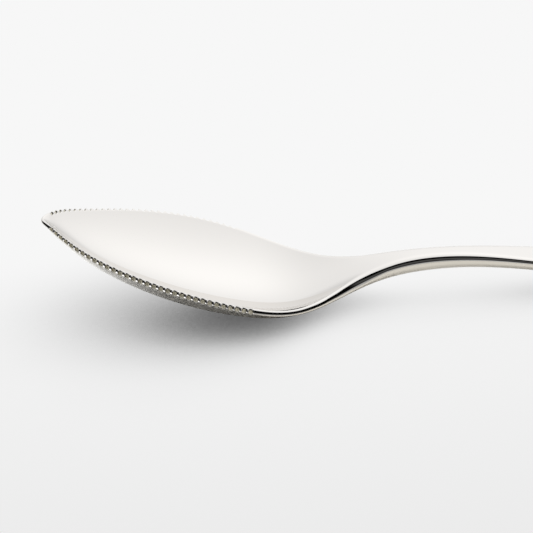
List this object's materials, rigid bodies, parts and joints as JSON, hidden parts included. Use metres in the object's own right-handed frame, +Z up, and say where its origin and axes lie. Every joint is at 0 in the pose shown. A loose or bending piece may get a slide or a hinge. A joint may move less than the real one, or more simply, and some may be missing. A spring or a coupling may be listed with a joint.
{
  "type": "grapefruit spoon",
  "caption": "Slim polished steel spoon with a pointed, saw-toothed bowl, an arched neck and a long flat handle, for cutting out and lifting fruit segments.",
  "frame": {"origin": "on the spoon's centre plane, half way along its length, at the height of the table it lies on", "axes": "+X from the tip of the bowl towards the end of the handle, +Z up out of the hollow of the bowl, symmetric about Y = 0"},
  "size_m": [0.165, 0.0308, 0.0189],
  "materials": {
    "steel": "bright polished stainless steel"
  },
  "bodies": {
    "root": {"bowl": "steel", "neck": "steel", "handle": "steel"}
  },
  "joints": []
}
